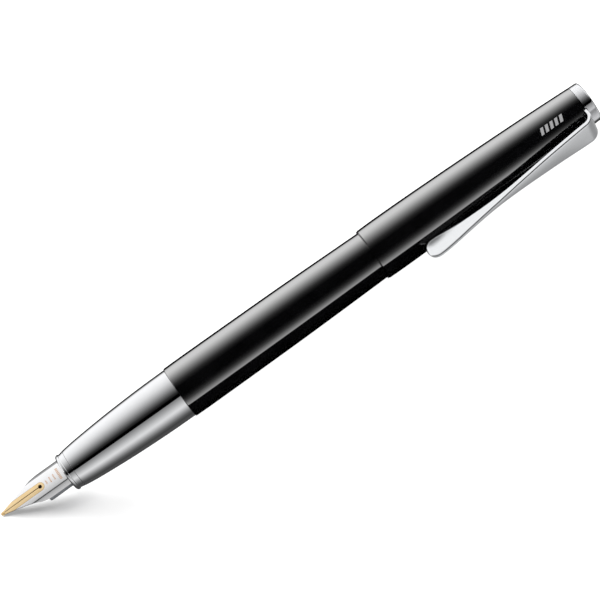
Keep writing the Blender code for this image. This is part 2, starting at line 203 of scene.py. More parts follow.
def turned_arrays(profile, seg=160, closed=True, mod=None):
    prof = [profile[0]]
    for p in profile[1:]:
        if abs(p[0] - prof[-1][0]) + abs(p[1] - prof[-1][1]) > 1e-6:
            prof.append(p)
    th = np.arange(seg) * 2 * math.pi / seg
    verts, rings = [], []
    for x, r in prof:
        if r < 1e-7:
            rings.append([len(verts)])
            verts.append((x, 0, 0))
            continue
        rs = np.full(seg, r)
        if mod is not None:
            rs = mod(x, r, th)
        base = len(verts)
        verts.extend(zip(np.full(seg, x), rs * np.sin(th), -rs * np.cos(th)))
        rings.append(list(range(base, base + seg)))
    faces = []
    pairs = list(zip(rings, rings[1:]))
    if closed:
        pairs.append((rings[-1], rings[0]))
    for a, b in pairs:
        if len(a) == 1 and len(b) == 1:
            continue
        for i in range(seg):
            j = (i + 1) % seg
            if len(a) == 1:
                faces.append((a[0], b[j], b[i]))
            elif len(b) == 1:
                faces.append((a[i], a[j], b[0]))
            else:
                faces.append((a[i], a[j], b[j], b[i]))
    return np.array(verts), faces


def run(fn_or_table, x0, x1, step):
    """Points of a smooth table between two stations, ends included."""
    n = max(2, int(round(abs(x1 - x0) / step)) + 1)
    xs = np.linspace(x0, x1, n)
    return [(float(x), float(r)) for x, r in zip(xs, spline(fn_or_table, xs)[:, 0])]


def thread(x0, x1, pitch, depth, outside=True, lo=0.0, hi=99.0, fade=0.8):
    """Radius change of a screw thread between x0 and x1, on radii lo..hi."""
    def mod(x, r, th):
        if not (x0 < x < x1 and lo < r < hi):
            return np.full(len(th), r)
        ph = (x / pitch - th / (2 * math.pi)) % 1.0
        tri = np.clip(np.abs(ph - 0.5) * 2 * 1.35 - 0.175, 0, 1)
        tri = tri * tri * (3 - 2 * tri)
        env = min(1.0, (x - x0) / fade, (x1 - x) / fade)
        return r - depth * tri * env if outside else r + depth * tri * env
    return mod


def ring_loft(sections, cap=True):
    n = len(sections[0])
    verts = np.concatenate(sections)
    faces = []
    for k in range(len(sections) - 1):
        a, b = k * n, (k + 1) * n
        for i in range(n):
            j = (i + 1) % n
            faces.append((a + i, a + j, b + j, b + i))
    if cap:
        faces.append(tuple(reversed(range(n))))
        faces.append(tuple(range((len(sections) - 1) * n, len(sections) * n)))
    return verts, faces


# ------------------------------------------------------------------ materials
class Mat:
    """A small builder for procedural materials in pen millimetres."""

    def __init__(self, name):
        self.m = bpy.data.materials.new(name)
        self.m.use_nodes = True
        self.nt = self.m.node_tree
        self.b = self.nt.nodes["Principled BSDF"]
        tc = self.nt.nodes.new("ShaderNodeTexCoord")
        mp = self.nt.nodes.new("ShaderNodeMapping")
        mp.inputs["Scale"].default_value = (1000, 1000, 1000)
        self.nt.links.new(tc.outputs["Object"], mp.inputs["Vector"])
        self.mm = mp.outputs["Vector"]

    def put(self, **kw):
        for k, v in kw.items():
            self.b.inputs[k.replace("_", " ")].default_value = v
        return self

    def link(self, out, socket):
        self.nt.links.new(out, self.b.inputs[socket])
        return self

    def n(self, kind, **props):
        nd = self.nt.nodes.new(kind)
        for k, v in props.items():
            setattr(nd, k, v)
        return nd

    def stretched(self, sx, sy, sz):
        mp = self.n("ShaderNodeMapping")
        mp.inputs["Scale"].default_value = (sx, sy, sz)
        self.nt.links.new(self.mm, mp.inputs["Vector"])
        return mp.outputs["Vector"]

    def noise(self, vec, scale, detail=3.0, rough=0.5, dist=0.0):
        nd = self.n("ShaderNodeTexNoise")
        nd.inputs["Scale"].default_value = scale
        nd.inputs["Detail"].default_value = detail
        nd.inputs["Roughness"].default_value = rough
        nd.inputs["Distortion"].default_value = dist
        self.nt.links.new(vec, nd.inputs["Vector"])
        return nd.outputs["Fac"]

    def remap(self, fac, a, b, lo=0.3, hi=0.7):
        nd = self.n("ShaderNodeMapRange", clamp=True)
        nd.inputs["From Min"].default_value = lo
        nd.inputs["From Max"].default_value = hi
        nd.inputs["To Min"].default_value = a
        nd.inputs["To Max"].default_value = b
        self.nt.links.new(fac, nd.inputs["Value"])
        return nd.outputs["Result"]

    def math(self, op, a, b=None, c=None):
        nd = self.n("ShaderNodeMath", operation=op)
        for i, v in enumerate((a, b, c)):
            if v is None:
                continue
            if isinstance(v, (int, float)):
                nd.inputs[i].default_value = v
            else:
                self.nt.links.new(v, nd.inputs[i])
        return nd.outputs[0]

    def dot(self, vec, d):
        nd = self.n("ShaderNodeVectorMath", operation="DOT_PRODUCT")
        self.nt.links.new(vec, nd.inputs[0])
        nd.inputs[1].default_value = tuple(float(q) for q in d)
        return nd.outputs["Value"]

    def ramp(self, fac, stops):
        nd = self.n("ShaderNodeValToRGB")
        el = nd.color_ramp.elements
        while len(el) > 1:
            el.remove(el[-1])
        el[0].position, el[0].color = stops[0][0], (*stops[0][1], 1)
        for p, c in stops[1:]:
            e = el.new(p)
            e.color = (*c, 1)
        self.nt.links.new(fac, nd.inputs["Fac"])
        return nd.outputs["Color"]

    def mix(self, fac, a, b):
        nd = self.n("ShaderNodeMix", data_type="RGBA")
        self.nt.links.new(fac, nd.inputs["Factor"])
        for v, s in ((a, "A"), (b, "B")):
            sock = [q for q in nd.inputs if q.name == s and q.type == "RGBA"][0]
            if isinstance(v, tuple):
                sock.default_value = (*v, 1)
            else:
                self.nt.links.new(v, sock)
        return [q for q in nd.outputs if q.type == "RGBA"][0]

    def bump(self, height, strength, dist_mm):
        nd = self.n("ShaderNodeBump")
        nd.inputs["Strength"].default_value = strength
        nd.inputs["Distance"].default_value = dist_mm * MM
        self.nt.links.new(height, nd.inputs["Height"])
        self.nt.links.new(nd.outputs["Normal"], self.b.inputs["Normal"])
        return nd

    def on(self, *obs):
        for ob in obs:
            ob.data.materials.clear()
            ob.data.materials.append(self.m)
        return self


def lacquer(name, tone, mark=None):
    """Deep black lacquer: polished clear layer, faint orange peel, hairline polish marks."""
    m = Mat(name)
    m.put(IOR=1.62, Coat_Weight=1.0, Coat_IOR=1.62, Coat_Roughness=0.03, Specular_IOR_Level=0.5)
    cloud = m.noise(m.mm, 0.16, 4.0, 0.55)
    col = m.ramp(cloud, [(0.30, (0.0012, 0.0012, 0.0014)), (0.72, tone)])
    if mark:
        col = m.mix(mark(m), col, (0.40, 0.40, 0.405))
    m.link(col, "Base Color")
    hair = m.noise(m.stretched(0.35, 4.0, 4.0), 1.0, 4.0, 0.6)
    m.link(m.remap(hair, 0.035, 0.065), "Roughness")
    peel = m.noise(m.mm, 0.55, 2.0, 0.4)
    m.bump(peel, 0.05, 0.006)
    return m


def slanted_bars(m):
    """A plain printed mark near the cap's closed end: a row of short slanted bars."""
    sep = m.n("ShaderNodeSeparateXYZ")
    m.nt.links.new(m.mm, sep.inputs[0])
    e = rad(26.8)
    side = m.dot(m.mm, (0.0, -math.sin(e), -math.cos(e)))
    front = m.dot(m.mm, (0.0, -math.cos(e), math.sin(e)))
    q = m.math("ADD", m.math("SUBTRACT", sep.outputs["X"], 143.2), m.math("MULTIPLY", side, 0.38))
    saw = m.math("FRACT", m.math("DIVIDE", q, 1.25))
    bar = m.remap(m.math("SUBTRACT", 0.30, m.math("ABSOLUTE", m.math("SUBTRACT", saw, 0.32))),
                  0.0, 1.0, -0.02, 0.02)
    high = m.remap(m.math("SUBTRACT", 0.78, m.math("ABSOLUTE", side)), 0.0, 1.0, -0.02, 0.02)
    long_ = m.remap(m.math("SUBTRACT", 3.05, m.math("ABSOLUTE", m.math("SUBTRACT", q, 3.1))),
                    0.0, 1.0, -0.02, 0.02)
    seen = m.math("GREATER_THAN", front, 2.0)
    return m.math("MULTIPLY", m.math("MULTIPLY", bar, high), m.math("MULTIPLY", long_, seen))


def chrome(name, low, high, rough=(0.05, 0.10), lines=0.05, tint=None):
    """Bright plating over a turned base: faint turning lines round the axis."""
    m = Mat(name)
    m.put(Metallic=1.0)
    cloud = m.noise(m.mm, 0.45, 4.0, 0.6)
    m.link(m.ramp(cloud, [(0.20, low), (0.80, high)]), "Base Color")
    turn = m.noise(m.stretched(22.0, 0.25, 0.25), 1.0, 4.0, 0.6)
    haze = m.noise(m.mm, 0.6, 4.0, 0.55, 0.3)
    mixed = m.math("MULTIPLY_ADD", haze, 0.6, m.math("MULTIPLY", turn, 0.4))
    m.link(m.remap(mixed, rough[0], rough[1]), "Roughness")
    m.bump(turn, lines, 0.004)
    return m


def moulded(name, low, high, rough=(0.34, 0.52), grain=9.0, depth=0.012, strength=0.35, coat=0.0):
    """Injection-moulded plastic: fine spark-eroded grain and slight flow shading."""
    m = Mat(name)
    m.put(IOR=1.50, Coat_Weight=coat, Coat_Roughness=0.12)
    flow = m.noise(m.stretched(0.18, 0.5, 0.5), 1.0, 4.0, 0.55, 0.4)
    m.link(m.ramp(flow, [(0.30, low), (0.72, high)]), "Base Color")
    fine = m.noise(m.mm, grain, 4.0, 0.62)
    m.link(m.remap(fine, rough[0], rough[1]), "Roughness")
    m.bump(fine, strength, depth)
    return m


def turned_metal(name, low, high, rough=(0.16, 0.34), pitch=9.0, depth=0.012, strength=0.5):
    """Lathe-turned metal with visible tool lines."""
    m = Mat(name)
    m.put(Metallic=1.0)
    lines = m.noise(m.stretched(pitch, 0.05, 0.05), 1.0, 5.0, 0.7)
    stain = m.noise(m.mm, 0.5, 5.0, 0.6, 0.5)
    m.link(m.ramp(stain, [(0.28, low), (0.70, high)]), "Base Color")
    m.link(m.remap(lines, rough[0], rough[1]), "Roughness")
    m.bump(lines, strength, depth)
    return m


# ================================================================== BARREL
BARREL_OUT = [(47.03, 6.235), (50.7, 6.27), (66.0, 6.22), (74.6, 6.17), (83.3, 6.06),
              (92.0, 5.91), (98.4, 5.79), (104.0, 5.58), (110.0, 5.34), (116.0, 5.08),
              (118.4, 4.92), (119.0, 4.86)]
prof = run(BARREL_OUT, 47.03, 119.0, 1.2)
prof[0] = (47.03, prof[0][1], 0.12)
prof[-1] = (119.0, prof[-1][1], 0.45)
prof += [(119.0, 3.62, 0.08), (116.9, 3.62), (116.7, 4.20), (96.0, 4.75), (60.0, 5.10),
         (59.3, 5.28), (47.03, 5.28, 0.05)]
barrel = turned("barrel_lacquer", soft(prof), "barrel", ["barrel_tube"], seg=192)

bush_prof = [(47.6, 4.86), (47.6, 5.20, 0.05)] + [(59.0, 5.20, 0.05), (59.0, 4.86)]
bush_prof += [(float(x), 4.86) for x in np.arange(58.95, 47.6, -0.06)]
bush = turned("barrel_bush", soft(bush_prof), "barrel", ["barrel_thread_bush"], seg=144,
              mod=thread(47.9, 58.8, 0.90, 0.22, outside=False, lo=4.5, hi=5.0),
              sharp=50)

stud = turned("tail_end", soft([(117.0, 0.0), (117.0, 3.55, 0.15), (119.3, 3.55, 0.05),
              (119.3, 4.22, 0.05), (119.45, 4.30, 0.06), (119.65, 4.36, 0.1), (120.35, 4.36, 0.05),
              (120.45, 4.24, 0.05), (120.75, 4.24, 0.05), (120.85, 4.36, 0.05),
              (121.6, 4.36, 0.5), (122.2, 3.6, 0.9), (122.5, 2.2, 0.6), (122.5, 0.0)],
              closed=False, n=7), "barrel", ["tail_stud"], seg=144, closed=False)

# ================================================================== SECTION
GRIP_OUT = [(18.85, 4.55), (20.3, 4.74), (22.5, 4.97), (24.6, 5.14), (26.8, 5.30),
            (29.0, 5.45), (32.0, 5.62), (35.5, 5.77), (39.9, 5.92), (44.2, 5.99),
            (46.95, 6.00)]
prof = run(GRIP_OUT, 18.85, 46.98, 0.75)
prof[0] = (18.85, prof[0][1], 0.05)
prof[-1] = (46.98, prof[-1][1], 0.06)
prof += [(46.98, 5.16, 0.06), (32.7, 5.16), (32.5, 4.06), (18.85, 4.06, 0.04)]
grip = turned("grip_sleeve", soft(prof), "section", ["grip_shell"], seg=192)

# mouth ring: rolled bead with a hollow throat, then a short neck up to the sleeve
ring = turned("grip_mouth_ring", soft([
    (17.30, 3.64, 0.10), (16.95, 3.67, 0.12), (16.76, 3.80, 0.12), (16.68, 3.98, 0.2),
    (16.76, 4.18, 0.25), (16.98, 4.38, 0.25), (17.24, 4.49, 0.22), (17.46, 4.44, 0.12),
    (17.58, 4.32, 0.08), (17.80, 4.32, 0.1), (18.74, 4.52, 0.05), (18.80, 4.48, 0.03),
    (18.80, 4.06, 0.03), (18.37, 4.06), (18.37, 3.64, 0.05)],
    n=6), "section", ["grip_front_ring"], seg=192)

core_out = [(18.45, 3.64, 0.05), (18.45, 3.99, 0.1), (32.85, 3.99), (33.0, 5.10, 0.1),
            (46.95, 5.10, 0.08), (47.05, 4.80)]
core_out += [(float(x), 4.80) for x in np.arange(47.1, 57.6, 0.06)]
core_out += [(57.7, 4.80, 0.1), (58.0, 4.55, 0.05), (58.0, 3.95, 0.1), (39.0, 3.95, 0.2),
             (39.0, 1.85, 0.2), (46.9, 1.85, 0.2), (47.3, 1.55, 0.1), (47.3, 0.90, 0.08),
             (31.6, 0.90), (31.6, 3.36), (26.2, 3.36), (26.0, 3.64)]
core = turned("section_core_body", soft(core_out), "section", ["section_core"], seg=144,
              mod=thread(47.9, 57.3, 0.90, 0.22, lo=4.7, hi=4.9), sharp=50)

# ------------------------------------------------------------------ nib
NIB_FLAT, HALF_FLAT, SHEET = 2.46, 2.17, 0.26
WING_END = (3.20, 1.52)  # side and height of a wing's lower edge
CREASE = 0.20            # radius of the fold between the flat top and a wing
CROWN = 0.09             # the flat top is not quite flat
WING_U = HALF_FLAT + math.hypot(WING_END[0] - HALF_FLAT, WING_END[1] - NIB_FLAT) + 0.02
HOLE_X, HOLE_R = 10.68, 0.40
NIB_TAIL = 25.0


def _fold_table():
    """The folded cross-section as a dense curve: arc length -> (side, height, normal)."""
    pts = [(u, NIB_FLAT + CROWN * (1 - (u / HALF_FLAT) ** 2)) for u in np.linspace(0, HALF_FLAT, 60)]
    ds, dh = WING_END[0] - HALF_FLAT, WING_END[1] - NIB_FLAT
    ln = math.hypot(ds, dh)
    for t in np.linspace(0, 1.25, 70)[1:]:
        bulge = 0.20 * t * (1.25 - t)
        pts.append((HALF_FLAT + ds * t - dh / ln * bulge, NIB_FLAT + dh * t + ds / ln * bulge))
    p = np.array(pts)
    s = np.concatenate([[0], np.cumsum(np.linalg.norm(np.diff(p, axis=0), axis=1))])
    uu = np.arange(0, s[-1], 0.02)
    q = np.stack([np.interp(uu, s, p[:, 0]), np.interp(uu, s, p[:, 1])], 1)
    full = np.concatenate([q[:0:-1] * [-1, 1], q])
    k = int(CREASE / 0.02)
    ker = np.hanning(2 * k + 1)
    ker /= ker.sum()
    pad = np.concatenate([full[0] + (full[0] - full[1:k + 1])[::-1], full,
                          full[-1] + (full[-1] - full[-k - 1:-1])[::-1]])
    sm = np.stack([np.convolve(pad[:, i], ker, "valid") for i in (0, 1)], 1)
    mid = len(q) - 1
    sm = sm[mid:]
    t = np.gradient(sm, axis=0)
    t /= np.linalg.norm(t, axis=1)[:, None]
    t[0] = (1, 0)
    nrm = np.stack([-t[:, 1], t[:, 0]], 1)
    return uu, sm, nrm


_U, _P, _NR = _fold_table()


def fold(u):
    """Signed arc length -> outer (side, height) and its normal, arrays."""
    a = np.abs(u)
    sg = np.where(u < 0, -1.0, 1.0)
    p = np.stack([np.interp(a, _U, _P[:, 0]) * sg, np.interp(a, _U, _P[:, 1])], -1)
    n = np.stack([np.interp(a, _U, _NR[:, 0]) * sg, np.interp(a, _U, _NR[:, 1])], -1)
    return p, n / np.linalg.norm(n, axis=-1, keepdims=True)


NIB_OUTLINE = [(0.72, 0.34), (1.4, 0.52), (3.2, 0.97), (5.0, 1.46), (6.8, 2.02), (8.2, 2.58),
               (9.4, 3.14), (10.6, WING_U - 0.13), (11.1, WING_U - 0.01), (11.4, WING_U),
               (30.0, WING_U)]


def nib_dip(x):
    return 0.25 * np.clip(1.0 - x / 9.0, 0, None) ** 2


def nib_half(side):
    """One tine and half of the body as a closed skin, ready to meet its mirror twin."""
    a = np.linspace(0, math.pi, 33)
    xs = np.concatenate([np.linspace(0.72, 2.2, 24), np.linspace(2.3, HOLE_X - HOLE_R - 0.12, 60),
                         HOLE_X - HOLE_R * np.cos(a), np.linspace(HOLE_X + HOLE_R + 0.08, 13, 14),
                         np.linspace(13.4, NIB_TAIL, 30)])
    slit = np.clip(0.016 + 0.024 * (xs - 0.7) / 9.3, 0.016, 0.040)
    inside = np.sqrt(np.clip(HOLE_R**2 - (xs - HOLE_X) ** 2, 0, None))
    lo = np.where(xs < HOLE_X, np.maximum(slit, inside), inside)
    lo[xs >= HOLE_X + HOLE_R - 1e-9] = 0.0
    hi = spline(NIB_OUTLINE, xs)[:, 0]
    # rounded rear corners of the sheet
    back = np.clip((xs - (NIB_TAIL - 1.6)) / 1.6, 0, 1)
    hi = hi - 1.1 * (1 - np.sqrt(np.clip(1 - back**2, 0, 1)))
    N, B = 44, 5
    v = np.linspace(0, 1, N)
    rows = []
    for x, l, h in zip(xs, lo, hi):
        c = min(0.085, 0.4 * SHEET, 0.3 * max(h - l, 0.02))     # edge rounding
        u = l + c * (1 if l > 0 else 0) + (h - c - l - c * (1 if l > 0 else 0)) * v
        p, n = fold(u)
        top = p
        bot = p - n * SHEET
        loop = [top]
        pe, ne = fold(np.array([h - c]))
        te = np.array([ne[0][1], -ne[0][0]])
        cen_t, cen_b = pe[0] - ne[0] * c, pe[0] - ne[0] * (SHEET - c)
        q = np.linspace(90, 0, B + 1)[1:]
        loop.append(np.array([cen_t + c * (ne[0] * math.sin(rad(z)) + te * math.cos(rad(z))) for z in q]))
        loop.append(np.array([cen_b + c * (-ne[0] * math.sin(rad(z)) + te * math.cos(rad(z))) for z in q[::-1]]))
        loop.append(bot[::-1])
        # inner edge, along the slit or the hole (collapsed onto the middle behind the hole)
        pl, nl = fold(np.array([u[0]]))
        tl = np.array([-nl[0][1], nl[0][0]])
        cc = c if l > 0 else 0.0
        ct, cb = pl[0] - nl[0] * c, pl[0] - nl[0] * (SHEET - c)
        if cc > 0:
            loop.append(np.array([cb + c * (-nl[0] * math.sin(rad(z)) + tl * math.cos(rad(z))) for z in q]))
            loop.append(np.array([ct + c * (nl[0] * math.sin(rad(z)) + tl * math.cos(rad(z))) for z in q[::-1]]))
        else:
            k = 2 * B
            f = np.linspace(1, 0, k + 2)[1:-1][:, None]
            loop.append(bot[0] * f + top[0] * (1 - f))
        sec = np.concatenate(loop)
        pts = (np.array([x, 0, 0])[None] + side * sec[:, :1] * NIB_T[None]
               + (sec[:, 1:2] - nib_dip(x)) * NIB_N[None])
        rows.append(pts)
    n = len(rows[0])
    verts = np.concatenate(rows)
    inner0 = 2 * N + 2 * B - 1              # last bottom point, where the inner edge starts
    joined = xs >= HOLE_X + HOLE_R - 1e-9
    faces = []
    for k in range(len(rows) - 1):
        a_, b_ = k * n, (k + 1) * n
        for i in range(n):
            j = (i + 1) % n
            if joined[k] and (i >= inner0):
                continue                     # the two halves share this line
            faces.append((a_ + i, a_ + j, b_ + j, b_ + i) if side > 0 else
                         (a_ + j, a_ + i, b_ + i, b_ + j))
    ends = [list(range(n)), list(range((len(rows) - 1) * n, len(rows) * n))]
    faces.append(tuple(ends[0] if side < 0 else ends[0][::-1]))
    faces.append(tuple(ends[1] if side > 0 else ends[1][::-1]))
    return verts, faces


v1, f1 = nib_half(1)
v2, f2 = nib_half(-1)
nib = add_piece("nib_sheet", np.concatenate([v1, v2]),
                f1 + [tuple(i + len(v1) for i in f) for f in f2], "nib", ["nib"],
                sharp=55)


def pellet_half(side):
    """Half of the ground writing point, flat against the slit."""
    cen = np.array([0.80, 0, 0])
    hgt = NIB_FLAT + CROWN - SHEET * 0.5 - float(nib_dip(0.80)) - 0.06
    rows = []
    for ph in np.linspace(0, math.pi, 15):
        row = []
        for th in np.linspace(0, math.pi, 15):
            d = np.array([math.cos(ph), math.sin(ph) * math.sin(th), math.sin(ph) * math.cos(th)])
            row.append(cen + EX * d[0] * 0.52 + NIB_T * side * (d[1] * 0.44 + 0.010)
                       + NIB_N * (hgt + d[2] * 0.37))
        rows.append(row)
    m = len(rows[0])
    verts = np.array(rows).reshape(-1, 3)
    faces = []
    for a in range(len(rows) - 1):
        for b in range(m - 1):
            faces.append((a * m + b, a * m + b + 1, (a + 1) * m + b + 1, (a + 1) * m + b))
    rim = [a * m for a in range(len(rows))] + [a * m + m - 1 for a in range(len(rows) - 2, 0, -1)]
    faces.append(tuple(rim))
    return verts, faces


pa, fa = pellet_half(1)
pb, fb = pellet_half(-1)
pellet = add_piece("nib_point", np.concatenate([pa, pb]),
                   fa + [tuple(i + len(pa) for i in f) for f in fb], "nib", ["nib_tipping"],
                   sharp=60)


# ------------------------------------------------------------------ feed
FEED_R, FEED_X0, FEED_X1 = 3.02, 10.75, 31.2
F_FLAT = NIB_FLAT - SHEET - 0.10


def feed_ring(x, shrink=0.0, comb=0.0, n=72):
    """Closed cross-section of the feed's body, with the ink channel in its top."""
    pts = [(0.0, F_FLAT - 0.55), (0.16, F_FLAT - 0.55), (0.20, F_FLAT - 0.5), (0.20, F_FLAT - 0.04),
           (0.24, F_FLAT)]
    pts += [(u, F_FLAT) for u in np.linspace(0.3, 1.92, 12)]
    pts += [(2.02, F_FLAT - 0.04)]
    pts += [(2.02 + 0.80 * t, F_FLAT - 0.04 - 0.84 * t) for t in np.linspace(0.1, 1.0, 12)]
    pts += [((FEED_R - comb) * math.sin(a), (FEED_R - comb) * math.cos(a))
            for a in np.linspace(rad(71.5), math.pi, 40)]
    full = pts + [(-s, h) for s, h in reversed(pts[1:-1])]
    p = np.array(full)
    if shrink:
        ln = np.linalg.norm(p, axis=1, keepdims=True)
        p = p * (1 - shrink / np.maximum(ln, 0.5))
    return np.array([x, 0, 0])[None] + p[:, :1] * NIB_T[None] + p[:, 1:2] * NIB_N[None]


secs = [feed_ring(FEED_X0, 0.12), feed_ring(FEED_X0 + 0.04, 0.05), feed_ring(FEED_X0 + 0.12)]
xx = FEED_X0 + 0.3
secs.append(feed_ring(18.9))
for k in range(16):                      # comb that holds spare ink, behind the mouth
    x0 = 19.2 + k * 0.62
    secs += [feed_ring(x0), feed_ring(x0 + 0.04, comb=0.75), feed_ring(x0 + 0.30, comb=0.75),
             feed_ring(x0 + 0.34)]
secs += [feed_ring(30.9), feed_ring(31.1, 0.06), feed_ring(FEED_X1, 0.16)]
v, f = ring_loft(secs)
feed = add_piece("feed_body", v, f, "section", ["feed"], sharp=40)

TONGUE = [(3.4, 0.30, 1.98, 1.62), (4.2, 0.52, 2.02, 1.42), (6.0, 0.86, 2.08, 1.02),
          (9.0, 1.42, 2.15, 0.45), (10.3, 1.58, 2.16, 0.24), (11.4, 1.62, 2.16, 0.20)]
tsecs = []
for x in np.linspace(3.4, 11.4, 40):
    w, top, low = spline(TONGUE, x)
    k = min(1.0, 0.35 + 2.2 * (x - 3.4)) if x < 3.7 else 1.0
    w, low = w * k, top - (top - low) * k
    ring_pts = []
    for i in range(48):
        a = 2 * math.pi * i / 48
        # flat top, rounded belly
        sx = math.copysign(abs(math.sin(a)) ** 0.55, math.sin(a)) * w
        cy = math.cos(a)
        mid, hh = (top + low) / 2, (top - low) / 2
        sy = mid + hh * (math.copysign(abs(cy) ** (0.25 if cy > 0 else 0.8), cy))
        ring_pts.append(np.array([x, 0, 0]) + NIB_T * sx + NIB_N * sy)
    tsecs.append(np.array(ring_pts))
v, f = ring_loft(tsecs)
bool_apply(feed, [(temp_solid("tongue", v, f), "UNION")])
gv, gf = ring_loft([np.array([np.array([x, 0, 0]) + NIB_T * s + NIB_N * h for s, h in
                    [(-0.14, 1.78), (0.14, 1.78), (0.14, 2.6), (-0.14, 2.6)]])
                    for x in (2.8, FEED_X0 + 0.6)])
bool_apply(feed, [(temp_solid("tongue_channel", gv, gf), "DIFFERENCE")])
feed.data.shade_smooth()
feed.data.set_sharp_from_angle(angle=rad(40))

# ================================================================== CONVERTER
ctube = turned("converter_reservoir", soft([
    (41.0, 1.93, 0.1), (41.0, 3.10, 0.15), (41.4, 3.40, 0.25), (77.0, 3.40, 0.08),
    (77.0, 2.85, 0.05), (48.9, 2.85, 0.5), (47.9, 1.93, 0.2)], n=6), "converter",
    ["converter_tube"], seg=128)

collar = turned("converter_collar_ring", soft([
    (73.5, 3.45, 0.04), (73.5, 3.80, 0.10), (74.3, 3.80, 0.04), (74.38, 3.70, 0.04),
    (74.62, 3.70, 0.04), (74.70, 3.80, 0.04), (79.2, 3.80, 0.2), (79.5, 3.55, 0.1),
    (79.5, 1.22, 0.08), (77.3, 1.22, 0.05), (77.3, 3.45, 0.03)], n=5), "converter",
    ["converter_collar"], seg=144)

seal = turned("piston_seal", soft([
    (72.0, 0.0), (72.0, 2.50, 0.12), (72.25, 2.82, 0.12), (72.8, 2.60, 0.15), (73.3, 2.52, 0.1),
    (73.7, 2.52, 0.1), (74.2, 2.60, 0.15), (74.75, 2.82, 0.12), (75.0, 2.50, 0.1),
    (75.0, 1.20, 0.05), (72.8, 1.20, 0.05), (72.8, 0.0)], closed=False, n=5), "piston",
    ["converter_seal"], seg=96, closed=False)

rod_prof = [(72.95, 0.0), (72.95, 1.10)] + [(float(x), 1.10) for x in np.arange(73.1, 106.2, 0.10)]
rod_prof += [(106.25, 1.08), (106.4, 0.9), (106.4, 0.0)]


def spiral(x, r, th):
    if not (75.2 < x < 106.0 and 1.0 < r < 1.2):
        return np.full(len(th), r)
    ph = (x / 3.6667 - th / (2 * math.pi)) * 2 % 1.0
    groove = np.clip(1 - np.abs(ph - 0.5) / 0.16, 0, 1)
    return r - 0.28 * np.minimum(1, groove * 1.8) * min(1, (x - 75.2) / 0.6)


rod = turned("piston_rod", rod_prof, "piston", ["converter_piston_rod"], seg=64, closed=False,
             mod=spiral, sharp=50)



def drive_turns(x, r, th):
    """Ridges left in the drive nut's bore, on the lead of the rod's grooves."""
    if not (80.1 < x < 83.9 and r < 1.3):
        return np.full(len(th), r)
    ph = (x / 3.6667 - th / (2 * math.pi)) * 2 % 1.0
    env = min(1, (x - 80.1) / 0.3, (83.9 - x) / 0.3)
    return r + 0.16 * np.clip(np.abs(ph - 0.5) / 0.16 - 0.6, 0, 1) * env


dnut_prof = [(80.0, 1.22, 0.08), (80.0, 2.02, 0.06), (84.0, 2.02, 0.06), (84.0, 1.22, 0.08)]
dnut_prof += [(float(x), 1.22) for x in np.arange(83.8, 80.15, -0.1)]
dnut = turned("drive_nut", soft(dnut_prof), "knob", ["converter_drive_nut"], seg=96,
              mod=drive_turns, sharp=50)


def flutes(x, r, th):
    if not (82.0 < x < 107.0 and r > 3.1):
        return np.full(len(th), r)
    e = min(1, (x - 82.0) / 0.8, (107.0 - x) / 0.8)
    g = 0.5 - 0.5 * np.cos(th * 24)
    return r - 0.16 * e * g**1.5


kp = [(107.0, 0.0), (107.0, 1.45), (84.2, 1.45), (84.2, 2.10), (79.8, 2.10, 0.08),
      (79.8, 3.10, 0.12), (80.1, 3.30, 0.2), (80.9, 3.30, 0.05), (80.98, 3.2, 0.04),
      (81.3, 3.2, 0.04), (81.38, 3.30, 0.05)]
kp += [(float(x), 3.30) for x in np.arange(81.8, 107.4, 0.2)]
kp += [(107.9, 3.30, 0.3), (108.5, 2.80, 0.5), (108.5, 0.0)]
knob = turned("turning_knob", soft(kp, closed=False, n=5), "knob", ["converter_knob"], seg=192,
              closed=False, mod=flutes)

# ================================================================== CAP
CAP_OUT = [(98.40, 6.215), (98.8, 6.235), (103.0, 6.285), (109.4, 6.24), (120.0, 6.05),
           (131.0, 5.77), (142.0, 5.43), (148.0, 5.19), (153.7, 4.94), (154.0, 4.925)]
prof = run(CAP_OUT, 98.40, 154.0, 1.1)
# a fine shadow line is turned just behind the lip
prof[0] = (98.70, prof[0][1] + 0.012, 0.015)
prof[0:0] = [(98.40, 6.17, 0.03), (98.44, 6.218, 0.02), (98.57, 5.995)]
prof[-1] = (154.10, prof[-1][1] - 0.003, 0.05)
prof += [(154.10, 4.36, 0.04), (153.2, 4.36), (153.2, 1.62, 0.05), (152.6, 1.62, 0.05)]
prof += [(152.6, 4.45), (142.0, 4.86), (130.0, 5.16), (118.0, 5.46), (104.0, 5.78), (98.9, 5.90),
         (98.40, 5.97, 0.03)]
cap = turned("cap_lacquer", soft(prof), "cap", ["cap_tube"], seg=192)


def slot_block(x0, x1, n0, n1, half):
    vs, fs = ring_loft([np.array([np.array([x, 0, 0]) + CLIP_N * h + CLIP_T * s for s, h in
                        [(-half, n0), (half, n0), (half, n1), (-half, n1)]]) for x in (x0, x1)])
    return vs, fs


SLOT_HALF = 3.17
bool_apply(cap, [(temp_solid("rim_slot", *slot_block(153.50, 154.6, 1.9, 6.6, SLOT_HALF)),
                  "DIFFERENCE")])
cap.data.shade_smooth()
cap.data.set_sharp_from_angle(angle=rad(30))

